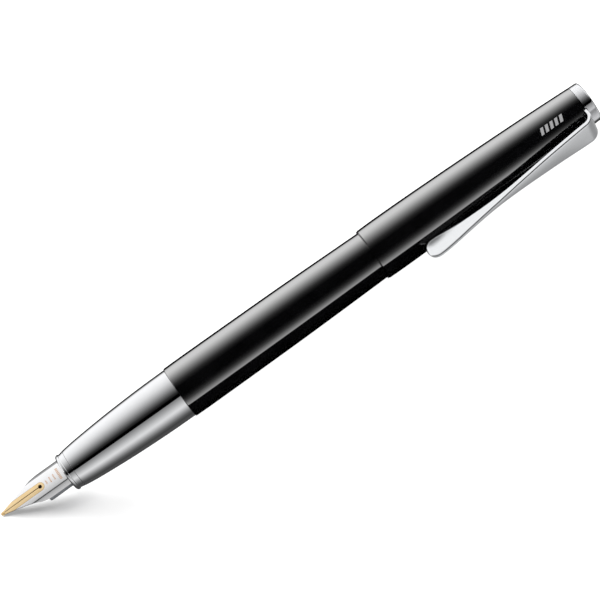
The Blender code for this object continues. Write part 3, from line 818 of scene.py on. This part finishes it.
finial = turned("cap_crown", soft([
    (150.3, 0.0), (150.3, 1.35, 0.1), (150.5, 1.50, 0.1)]
    + [(float(x), 1.50) for x in np.arange(150.7, 152.6, 0.04)] + [
    (154.40, 1.50), (154.40, 3.30),
    (154.16, 3.30, 0.05), (154.16, 4.90, 0.04), (156.45, 4.83, 0.48), (156.50, 2.4, 1.0),
    (156.50, 0.0)],
    closed=False, n=9), "cap", ["cap_finial"], seg=192, closed=False,
    mod=thread(150.6, 152.5, 0.50, 0.14, lo=1.4, hi=1.6, fade=0.2))
bool_apply(finial, [(temp_solid("crown_slot", *slot_block(153.6, 154.42, 1.9, 6.6, SLOT_HALF)),
                     "DIFFERENCE")])
finial.data.shade_smooth()
finial.data.set_sharp_from_angle(angle=rad(30))

liner = turned("cap_inner_sleeve", soft([
    (119.6, 4.46, 0.1), (119.6, 5.30, 0.1), (120.6, 5.27, 0.05), (120.7, 5.15, 0.05),
    (121.1, 5.14, 0.05), (121.2, 5.25, 0.05), (130.0, 5.06), (142.0, 4.76), (150.0, 4.45, 0.2),
    (150.0, 0.0), (149.2, 0.0), (149.2, 3.70, 0.5), (124.6, 4.20, 0.1), (124.0, 4.46, 0.1)]),
    "cap", ["cap_liner"], seg=144)


def fingers(x, r, th):
    if not (112.3 < x < 115.2):
        return np.full(len(th), r)
    g = np.clip(np.cos(th * 6) * 3 - 1.6, 0, 1)
    return r - 0.04 * g * math.sin(math.pi * (x - 112.3) / 2.9)


cring = turned("cap_spring_ring", soft([(112.0, 5.34, 0.04), (112.0, 5.50, 0.04)]
               + [(float(x), 5.50 - 0.0229 * (float(x) - 112.0)) for x in np.arange(112.3, 115.3, 0.2)]
               + [(115.5, 5.42, 0.04), (115.5, 5.27, 0.04)]
               + [(float(x), 5.27 + 0.02 * (115.5 - float(x))) for x in np.arange(115.3, 112.2, -0.2)]),
               "cap", ["cap_clutch_ring"], seg=144, mod=fingers)

washer = turned("nut_washer", soft([(152.24, 1.62, 0.04), (152.24, 2.90, 0.08),
                (152.52, 2.90, 0.08), (152.52, 1.62, 0.04)]), "cap", ["clip_washer"], seg=96)


def hexed(x, r, th):
    if r < 2.0:
        return np.full(len(th), r)
    b = (th + math.pi / 6) % (math.pi / 3) - math.pi / 6
    flat = 2.5 / np.cos(b)
    cone = 2.5 + 0.36 - max(0.0, 150.72 - x) * 0.9 - max(0.0, x - 151.98) * 0.9
    return np.minimum(flat, max(cone, 2.35))


np_ = [(150.5, 1.58, 0.1), (150.5, 2.6)] + [(float(x), 2.7) for x in np.arange(150.54, 152.18, 0.04)]
np_ += [(152.2, 2.6), (152.2, 1.58, 0.1)]
nut = turned("cap_hex_nut", soft(np_), "cap", ["cap_nut"], seg=144, mod=hexed, sharp=28)

# ------------------------------------------------------------------ clip
CLIP_TIP = 108.2
CLIP_ROWS = [(108.2, 11.02, 4.70, 0.74), (111.0, 11.00, 4.66, 0.75), (113.5, 10.76, 4.34, 0.77),
             (119.6, 9.86, 2.90, 0.90), (126.0, 9.02, 1.72, 1.28), (133.0, 8.42, 1.14, 2.50),
             (141.3, 7.96, 0.98, 4.30), (148.5, 7.70, 1.00, 5.60), (151.4, 7.58, 1.00, 6.02),
             (152.5, 7.54, 1.00, 6.10)]
PLATE = (153.62, 154.34)
# how far the outer face leans across its width: station, share of the full lean
CLIP_LEAN = [(108.0, 0.0), (116.0, 0.15), (124.0, 0.7), (130.0, 1.0), (143.0, 1.0), (149.0, 0.4),
             (151.5, 0.2), (155.0, 0.15)]


def clip_rows():
    """Rounded sections along the clip's middle line: dished spoon, leaning outer face."""
    out = []

    def add(x, r, nx, nr, h, w, c, x_shape, skew=0.0):
        c = min(c, 0.45 * h, 0.45 * w)
        big = min(c * 1.35, 0.45 * h, 0.45 * w)
        lean = float(spline(CLIP_LEAN, min(x_shape, 154.9))[0])
        dish = float(np.clip((119.0 - x_shape) / 7.0, 0, 1))
        pts = []
        for qx, qy, a0 in ((1, 1, 0), (-1, 1, 90), (-1, -1, 180), (1, -1, 270)):
            cc = big if (qx < 0 < qy) else c
            for k in range(7):
                a = rad(a0 + 90 * k / 6)
                pts.append((qx * (w / 2 - cc) + cc * math.cos(a), qy * (h / 2 - cc) + cc * math.sin(a)))
        # extra points along each side carry the dish and the lean
        loop = []
        for i, p in enumerate(pts):
            q = pts[(i + 1) % len(pts)]
            loop.append(p)
            if i % 7 == 6:
                for t in np.linspace(0, 1, 12)[1:-1]:
                    loop.append((p[0] + (q[0] - p[0]) * t, p[1] + (q[1] - p[1]) * t))
        sec = []
        for dw, dh in loop:
            v = 2 * dw / w                       # -1 near edge, +1 far edge
            up = max(0.0, dh) / (h / 2)          # the lean fades towards the inner face
            g = (w / 2) * (0.035 * (v + 1) - 0.158 * (v + 1) ** 2 / 4)
            dh2 = dh + lean * g * up
            # dish: the inner part of the near face turns outwards
            q = float(np.clip((0.5 * h - 2.55 - dh) / 2.1, 0, 1))
            near = float(np.clip(-v, -1, 1)) * 0.5 + 0.5
            dw2 = dw - dish * 0.20 * q * q * near + skew
            sec.append(np.array([x + nx * dh2, 0, 0]) + CLIP_N * (r + nr * dh2) + CLIP_T * dw2)
        out.append(np.array(sec))

    rnd = CLIP_ROWS[0][2] / 2
    mid0 = CLIP_ROWS[0][1] - rnd
    for a in np.linspace(4, 90, 26):
        dx = rnd * (1 - math.cos(rad(a)))
        h = 2 * rnd * math.sin(rad(a)) ** 0.9
        r_out, hh, w = spline(CLIP_ROWS, CLIP_TIP + dx)
        mid = r_out - hh / 2
        edge = 0.20 + 0.54 * min(1, math.sin(rad(a)) * 1.6)
        add(CLIP_TIP + dx, mid if a > 30 else mid0 + (mid - mid0) * a / 30, 0, 1,
            min(h, hh), w * min(1.0, edge / 0.74), 0.13, CLIP_TIP + dx)
    for x in np.linspace(CLIP_TIP + rnd + 0.25, 151.75, 150):
        r_out, h, w = spline(CLIP_ROWS, x)
        add(x, r_out - h / 2, 0, 1, h, w, 0.14, x)
    r_out, h, w = spline(CLIP_ROWS, 151.75)
    ph = PLATE[1] - PLATE[0]
    bend = (PLATE[0] + PLATE[1]) / 2 - 151.75
    cy = r_out - h / 2 - bend
    for i in range(1, 33):
        a = rad(90 - 90 * i / 32)
        wi = w * (1 - 0.09 * (i / 32) ** 1.3)
        add(151.75 + bend * math.cos(a), cy + bend * math.sin(a), math.cos(a), math.sin(a),
            h + (ph - h) * i / 32, wi, 0.14, 151.75 + bend * math.cos(a), -(w - wi) / 2)
    add((PLATE[0] + PLATE[1]) / 2, 2.2, 1, 0, ph, w * 0.91, 0.14, 154.0, -w * 0.045)
    return out


v, f = ring_loft(clip_rows())
clip = add_piece("clip_blade", v, f, "clip", ["cap_clip"], sharp=40)
ev, ef = turned_arrays([(PLATE[0], 0), (PLATE[0], 3.05), (PLATE[1], 3.05), (PLATE[1], 0)], 96, False)
hv, hf = turned_arrays([(152.5, 0), (152.5, 1.95), (155.5, 1.95), (155.5, 0)], 96, False)
bool_apply(clip, [(temp_solid("clip_eye", ev, ef), "UNION"),
                  (temp_solid("clip_eye_hole", hv, hf), "DIFFERENCE")])
clip.data.shade_smooth()
clip.data.set_sharp_from_angle(angle=rad(40))

# ================================================================== MATERIALS
lacquer("lacquer_black_barrel", (0.0030, 0.0030, 0.0034)).on(barrel)
lacquer("lacquer_black_cap", (0.0030, 0.0030, 0.0034), slanted_bars).on(cap)
chrome("chrome_grip", (0.615, 0.62, 0.63), (0.645, 0.65, 0.66), (0.040, 0.062), 0.03).on(grip)
chrome("chrome_mouth_ring", (0.61, 0.615, 0.625), (0.65, 0.655, 0.665), (0.045, 0.075), 0.03).on(ring)
chrome("chrome_crown", (0.61, 0.615, 0.63), (0.65, 0.655, 0.67), (0.040, 0.070), 0.03).on(finial)
chrome("chrome_tail", (0.60, 0.605, 0.615), (0.66, 0.665, 0.675), (0.07, 0.12)).on(stud)
chrome("chrome_collar", (0.58, 0.585, 0.595), (0.66, 0.665, 0.675), (0.08, 0.15)).on(collar)

# clip: polished steel, long polishing marks along the blade
m = Mat("steel_clip")
m.put(Metallic=1.0)
cloud = m.noise(m.mm, 0.5, 4.0, 0.6)
m.link(m.ramp(cloud, [(0.20, (0.735, 0.745, 0.76)), (0.80, (0.765, 0.775, 0.79))]), "Base Color")
pol = m.noise(m.stretched(0.25, 11.0, 11.0), 1.0, 5.0, 0.65)
m.link(m.remap(pol, 0.09, 0.14), "Roughness")
m.bump(pol, 0.05, 0.003)
m.on(clip)

# nib: satin rolled steel, gilded centre panel round the slit and the breather hole
m = Mat("nib_two_tone")
sep = m.n("ShaderNodeSeparateXYZ")
m.nt.links.new(m.mm, sep.inputs[0])
X = sep.outputs["X"]
S = m.dot(m.mm, NIB_T)
H = m.dot(m.mm, NIB_N)
past = m.math("MAXIMUM", m.math("SUBTRACT", X, 10.70), 0.0)
dist = m.math("SQRT", m.math("ADD", m.math("MULTIPLY", past, past), m.math("MULTIPLY", S, S)))
inside = m.math("SUBTRACT", 0.97, dist)
gild = m.remap(inside, 0.0, 1.0, -0.018, 0.018)
top_only = m.remap(H, 0.0, 1.0, 1.62, 1.70)
gild = m.math("MULTIPLY", gild, top_only)
brush = m.noise(m.stretched(0.30, 16.0, 16.0), 1.0, 5.0, 0.65)
cloud = m.noise(m.mm, 0.55, 4.0, 0.6)
steel = m.ramp(cloud, [(0.20, (0.745, 0.745, 0.755)), (0.80, (0.785, 0.785, 0.79))])
gold = m.ramp(cloud, [(0.28, (0.73, 0.54, 0.285)), (0.72, (0.80, 0.61, 0.36))])
# faint rolled border line round the gilding
line = m.remap(m.math("ABSOLUTE", m.math("SUBTRACT", inside, 0.0)), 1.0, 0.0, 0.015, 0.05)
# generic etched dashes behind the breather hole, rose-gilt
etch = None
dash = m.math("ABSOLUTE", m.math("SUBTRACT", m.math("FRACT", m.math("DIVIDE", S, 0.36)), 0.5))
dash = m.remap(dash, 1.0, 0.0, 0.30, 0.36)
for x0, half_w, half_t in ((12.35, 0.50, 0.17), (13.35, 0.68, 0.17), (14.35, 0.68, 0.17),
                           (15.55, 1.40, 0.30)):
    dx = m.math("SUBTRACT", half_t, m.math("ABSOLUTE", m.math("SUBTRACT", X, x0)))
    ds = m.math("SUBTRACT", half_w, m.math("ABSOLUTE", S))
    e = m.remap(m.math("MINIMUM", dx, ds), 0.0, 1.0, -0.02, 0.02)
    etch = e if etch is None else m.math("MAXIMUM", etch, e)
etch = m.math("MULTIPLY", etch, dash)
etch = m.math("MULTIPLY", etch, top_only)
col = m.mix(gild, steel, gold)
col = m.mix(m.math("MULTIPLY", line, top_only), col, (0.40, 0.30, 0.19))
col = m.mix(etch, col, (0.66, 0.43, 0.29))
m.link(col, "Base Color")
m.put(Metallic=1.0)
rgh = m.remap(brush, 0.17, 0.27)
m.link(m.math("ADD", rgh, m.math("MULTIPLY", etch, 0.15)), "Roughness")
hgt = m.math("SUBTRACT", m.math("MULTIPLY", brush, 0.25), m.math("MULTIPLY", etch, 1.0))
hgt = m.math("SUBTRACT", hgt, m.math("MULTIPLY", m.math("MULTIPLY", line, top_only), 0.8))
m.bump(hgt, 0.35, 0.008)
m.on(nib)

m = Mat("pellet_ground")
m.put(Metallic=0.55)
g = m.noise(m.mm, 9.0, 5.0, 0.6)
m.link(m.ramp(g, [(0.30, (0.74, 0.50, 0.22)), (0.70, (0.86, 0.61, 0.30))]), "Base Color")
m.link(m.remap(g, 0.24, 0.42), "Roughness")
m.bump(g, 0.3, 0.010)
m.on(pellet)

m = moulded("feed_plastic", (0.150, 0.158, 0.170), (0.195, 0.204, 0.218), (0.30, 0.46), 8.0)
shade = m.b.inputs["Base Color"].links[0].from_socket
# the top of the feed, tucked under the nib, is painted near-black: painted shade under the nib
feed_top_painted_shade = m.remap(m.dot(m.mm, NIB_N), 0.0, 1.0, 1.50, 1.72)
m.link(m.mix(feed_top_painted_shade, shade, (0.004, 0.004, 0.005)), "Base Color")
m.on(feed)
moulded("core_plastic", (0.014, 0.014, 0.015), (0.028, 0.028, 0.030), (0.28, 0.44), 7.0).on(core)
moulded("liner_plastic", (0.030, 0.030, 0.033), (0.055, 0.055, 0.060), (0.40, 0.58), 7.0).on(liner)
moulded("rod_plastic", (0.030, 0.030, 0.033), (0.060, 0.060, 0.066), (0.30, 0.44), 8.0).on(rod)
moulded("seal_rubber", (0.012, 0.012, 0.012), (0.026, 0.026, 0.027), (0.48, 0.66), 10.0).on(seal)
moulded("knob_plastic", (0.30, 0.010, 0.012), (0.46, 0.022, 0.024), (0.24, 0.36), 6.0,
        coat=0.3).on(knob)
turned_metal("bush_brass", (0.62, 0.42, 0.17), (0.78, 0.56, 0.27)).on(bush)
turned_metal("drive_nut_brass", (0.60, 0.41, 0.17), (0.76, 0.55, 0.27)).on(dnut)
turned_metal("spring_ring_steel", (0.46, 0.47, 0.49), (0.60, 0.61, 0.63), (0.20, 0.34)).on(cring)
turned_metal("washer_zinc", (0.50, 0.51, 0.54), (0.66, 0.67, 0.70), (0.24, 0.40)).on(washer)
turned_metal("nut_zinc", (0.50, 0.51, 0.54), (0.66, 0.67, 0.70), (0.24, 0.40)).on(nut)

# clear reservoir: faintly smoked, a little ink haze inside
m = Mat("reservoir_clear")
haze = m.noise(m.mm, 0.8, 5.0, 0.6)
m.put(IOR=1.49, Transmission_Weight=1.0)
m.link(m.ramp(haze, [(0.30, (0.86, 0.90, 0.93)), (0.70, (0.96, 0.98, 0.99))]), "Base Color")
m.link(m.remap(haze, 0.02, 0.07), "Roughness")
m.on(ctube)

# ================================================================== STUDIO
def emit_mat(name, build):
    mt = bpy.data.materials.new(name)
    mt.use_nodes = True
    nt = mt.node_tree
    nt.nodes.clear()
    out = nt.nodes.new("ShaderNodeOutputMaterial")
    em = nt.nodes.new("ShaderNodeEmission")
    nt.links.new(em.outputs[0], out.inputs["Surface"])
    build(nt, em)
    return mt


# Floor: a plain pale sheet
bm = bmesh.new()
bmesh.ops.create_grid(bm, x_segments=1, y_segments=1, size=6.0)
me = bpy.data.meshes.new("floor")
bm.to_mesh(me)
bm.free()
floor = bpy.data.objects.new("floor", me)
scene.collection.objects.link(floor)
floor.location = (0, 0, CAD_BOX[0][2] - 0.00002)
fm = bpy.data.materials.new("floor_pale")
fm.use_nodes = True
fb = fm.node_tree.nodes["Principled BSDF"]
fb.inputs["Base Color"].default_value = (0.90, 0.90, 0.90, 1)
fb.inputs["Roughness"].default_value = 0.9
fb.inputs["Specular IOR Level"].default_value = 0.0
floor.data.materials.append(fm)
floor.visible_glossy = False

# Wrap-round reflection sheets: long tubes of card round the pen, seen only in reflections.
# Their brightness follows the angle round the pen's axis, from the near horizon upwards.
# Each finish has its own sheet, as a retoucher lights it.
LACQUER_STOPS = [(-180, 0.0), (-43.5, 0.0), (-41.5, 2.3), (-36, 2.05), (-27, 1.08), (-19, 0.40),
                 (-10, 0.12), (-2, 0.03), (6, 0.0), (44, 0.0), (54, 0.07), (63, 0.24), (71, 0.61),
                 (80, 1.22), (90, 2.06), (100, 2.97), (110, 3.7), (122, 4.0), (136, 3.3),
                 (150, 2.2), (155, 1.6), (159, 0.75), (162, 0.15), (165, 0.0), (180, 0.0)]
METAL_STOPS = [(-180, 0.04), (-160, 0.10), (-112, 0.10), (-93, 0.08), (-78, 0.16), (-65, 0.35),
               (-54, 0.61), (-43, 0.93), (-38, 1.07), (-33, 1.09), (-23, 0.90), (-14, 0.70),
               (-5, 0.53), (2, 0.40), (7.6, 0.33), (8.8, 0.0), (20, 0.0), (31, 0.045), (40, 0.14),
               (49, 0.28), (58, 0.46), (67, 0.66), (77, 0.87), (87, 1.08), (98, 1.24), (109, 1.37),
               (122, 1.48), (137, 1.53), (149, 1.42), (153, 1.2), (157.5, 0.75), (162, 0.28),
               (166, 0.10), (170, 0.05), (180, 0.04)]
CROWN_STOPS = ([(-180, 0.04), (-165, 0.04), (-120, 0.06), (-108, 0.20), (-101, 0.70), (-95, 0.84),
                (-86, 0.87), (-77, 0.81), (-70, 0.75), (-56, 0.60), (-43, 0.455), (-37, 0.39),
                (-32, 0.43), (-27.5, 0.72), (-23, 0.86)] + [q for q in METAL_STOPS if q[0] > -15])
NIB_STOPS = [(-180, 0.12), (-150, 0.08), (-80, 0.08), (-66, 0.40), (-54, 0.76), (-40, 0.78),
             (-30, 0.74), (-20, 0.66), (-10, 0.60), (-3, 0.50), (4, 0.12), (8, 0.03), (36, 0.03),
             (46, 0.18), (54, 0.48), (60, 0.84), (66, 1.10), (70, 1.26), (75, 1.34), (116, 1.34),
             (128, 0.86), (138, 0.42), (148, 0.28), (158, 0.18), (170, 0.10), (180, 0.12)]
CLIP_STOPS = [(-180, 0.60), (-120, 0.36), (-100, 0.36), (-92, 0.38), (-88, 0.44), (-84, 0.55),
              (-81, 0.65), (-77, 0.78), (-72, 0.88), (-60, 0.80), (-52, 0.08), (66, 0.05),
              (75, 0.11), (79, 0.17), (83, 0.27), (87, 0.44), (91, 0.75), (94, 0.98), (97, 1.17),
              (125, 1.22), (150, 0.9), (180, 0.60)]


def tube_card(name, radius, stops, receivers, backing, half=5.0):
    """One sheet; all but the outermost let the light of the next one through."""
    ang = np.array([q[0] for q in stops], float)
    lev = np.array([q[1] for q in stops], float)
    nseg = 720
    a = -180 + 360 * np.arange(nseg) / nseg
    level = np.interp(a, ang, lev)
    ring = np.stack([-radius * np.cos(np.radians(a)), radius * np.sin(np.radians(a))], 1)
    verts = [(x, float(q[0]), float(q[1])) for q in ring for x in (-half, half)]
    faces = [(2 * k, 2 * k + 1, 2 * ((k + 1) % nseg) + 1, 2 * ((k + 1) % nseg)) for k in range(nseg)]
    me = bpy.data.meshes.new(name)
    me.from_pydata(verts, [], faces)
    at = me.attributes.new("level", "FLOAT", "POINT")
    at.data.foreach_set("value", np.repeat(level, 2).astype(np.float32))

    def nodes(nt, em):
        q = nt.nodes.new("ShaderNodeAttribute")
        q.attribute_name = "level"
        nt.links.new(q.outputs["Fac"], em.inputs["Strength"])
        if not backing:
            tr = nt.nodes.new("ShaderNodeBsdfTransparent")
            ad = nt.nodes.new("ShaderNodeAddShader")
            nt.links.new(em.outputs[0], ad.inputs[0])
            nt.links.new(tr.outputs[0], ad.inputs[1])
            nt.links.new(ad.outputs[0], nt.nodes["Material Output"].inputs["Surface"])

    cm = emit_mat(name, nodes)
    cm.cycles.emission_sampling = "NONE"
    me.materials.append(cm)
    return reflection_only(name, me, receivers, (0, AXIS_Y, AXIS_Z))


def reflection_only(name, me, receivers, loc):
    ob = bpy.data.objects.new(name, me)
    scene.collection.objects.link(ob)
    ob.location = loc
    ob.visible_camera = False
    ob.visible_diffuse = False
    ob.visible_shadow = False
    ob.visible_volume_scatter = False
    if receivers:
        link_light(ob, receivers)
    return ob


def link_light(ob, receivers, blockers=None):
    col = bpy.data.collections.new(ob.name + "_lit")
    for r in receivers:
        col.objects.link(r)
    ob.light_linking.receiver_collection = col
    if blockers is not None:
        bc = bpy.data.collections.new(ob.name + "_cast")
        for r in blockers:
            bc.objects.link(r)
        ob.light_linking.blocker_collection = bc


PIECES = [barrel, bush, stud, grip, ring, core, nib, pellet, feed, ctube, collar, seal, rod, dnut,
          knob, cap, finial, liner, cring, washer, nut, clip]
tube_card("card_lacquer", 0.60, LACQUER_STOPS, [barrel, cap], False, 2.0)
tube_card("card_metal", 0.64, METAL_STOPS,
          [o for o in PIECES if o not in (barrel, cap, finial, nib, pellet, clip)], False)
tube_card("card_nib", 0.68, NIB_STOPS, [nib, pellet], False)
tube_card("card_clip", 0.72, CLIP_STOPS, [clip], False)
tube_card("card_crown", 0.76, CROWN_STOPS, [finial], True)

# soft round cards closing the two ends of the tubes
for sx in (-1, 1):
    bm = bmesh.new()
    bmesh.ops.create_circle(bm, cap_ends=True, segments=64, radius=0.9)
    bmesh.ops.rotate(bm, verts=bm.verts, matrix=Matrix.Rotation(rad(90), 3, "Y"))
    me = bpy.data.meshes.new("card_end")
    bm.to_mesh(me)
    bm.free()

    def end_nodes(nt, em):
        em.inputs["Strength"].default_value = 0.35

    em_ = emit_mat("card_end", end_nodes)
    em_.cycles.emission_sampling = "NONE"
    me.materials.append(em_)
    reflection_only("card_end", me, [o for o in PIECES if o not in (barrel, cap, finial)],
                    (sx * 4.9, AXIS_Y, AXIS_Z))

# Soft overall light
world = bpy.data.worlds.new("studio")
scene.world = world
world.use_nodes = True
bg = world.node_tree.nodes["Background"]
bg.inputs["Color"].default_value = (1, 1, 1, 1)
bg.inputs["Strength"].default_value = 0.42
world.cycles_visibility.glossy = False


def lamp(name, kind, loc, target, energy, **props):
    ld = bpy.data.lights.new(name, kind)
    ld.energy = energy
    for k, v in props.items():
        setattr(ld, k, v)
    ob = bpy.data.objects.new(name, ld)
    scene.collection.objects.link(ob)
    ob.location = loc
    d = Vector(target) - Vector(loc)
    ob.rotation_euler = d.to_track_quat("-Z", "Y").to_euler()
    ob.visible_glossy = False
    ob.visible_camera = False
    return ob


key = lamp("key_soft", "AREA", (-0.15, -0.45, 1.3), (0, 0, 0), 14.0, shape="RECTANGLE", size=1.6,
           size_y=1.2)
link_light(key, PIECES)
# broad light of the table top. A small leaf of card, out of sight, throws the streak of
# shadow that runs from the writing point: x, y, half width and height over the table, mm.
LEAF = [(-1.9, 16.6, 0.45, 0.8), (-0.9, 16.0, 0.85, 1.1), (0.1, 15.2, 1.15, 1.6), (1.1, 14.2, 1.45, 2.4),
        (3.6, 11.0, 1.95, 5.0), (6.1, 8.0, 2.4, 7.0), (8.6, 5.0, 2.55, 9.0), (11.1, 2.2, 2.75, 11.5),
        (13.6, -1.2, 2.5, 13.5), (16.1, -5.4, 2.2, 14.5), (18.5, -10.0, 2.1, 16.0),
        (21.0, -14.2, 2.35, 19.5), (23.4, -18.1, 2.25, 20.0), (27.0, -23.2, 2.0, 20.5),
        (30.5, -28.5, 1.4, 21.0)]
lv, across = [], np.array([0.77, 0.64])
ground = (CAD_BOX[0][2] - ORIGIN.z) / MM
for x, y, w, h in LEAF:
    for sg in (-1, 1):
        lv.append(((x + sg * w * across[0]) * MM, (y + sg * w * across[1]) * MM, (ground + h) * MM))
me = bpy.data.meshes.new("shadow_leaf")
me.from_pydata(lv, [], [(2 * k, 2 * k + 1, 2 * k + 3, 2 * k + 2) for k in range(len(LEAF) - 1)])
leaf = bpy.data.objects.new("shadow_leaf", me)
scene.collection.objects.link(leaf)
leaf.location = ORIGIN
leaf.visible_camera = leaf.visible_diffuse = leaf.visible_glossy = False
leaf.visible_transmission = leaf.visible_volume_scatter = False
wash = lamp("table_wash", "SUN", (0.0, 0.0, 1.0), (0, 0, 0), 3.43, angle=rad(40))
link_light(wash, [floor], [leaf])

# ================================================================== CAMERA
ELEV = rad(22.0)
V = Vector((0, -math.cos(ELEV), math.sin(ELEV)))       # towards the camera
UP = Vector((0, math.sin(ELEV), math.cos(ELEV)))
DIST = 0.570
cam_x = ORIGIN.x + 0.0727
cam_pos = Vector((cam_x, ORIGIN.y, ORIGIN.z)) + V * DIST
target = Vector((ORIGIN.x + 0.07996, ORIGIN.y, ORIGIN.z)) + UP * 0.00119
fwd = (target - cam_pos).normalized()
ROLL = rad(35.5)
right = fwd.cross(UP).normalized()
upv = right.cross(fwd).normalized()
# turn the frame so that the pen's axis climbs to the right
r2 = right * math.cos(ROLL) - upv * math.sin(ROLL)
u2 = right * math.sin(ROLL) + upv * math.cos(ROLL)
cam_data = bpy.data.cameras.new("camera")
cam_data.sensor_fit = "HORIZONTAL"
cam_data.sensor_width = 36.0
cam_data.lens = 157.2
cam_data.clip_start = 0.01
cam = bpy.data.objects.new("camera", cam_data)
scene.collection.objects.link(cam)
mat = Matrix((r2, u2, -fwd)).transposed().to_4x4()
mat.translation = cam_pos
cam.matrix_world = mat
scene.camera = cam
scene.view_settings.view_transform = "Standard"
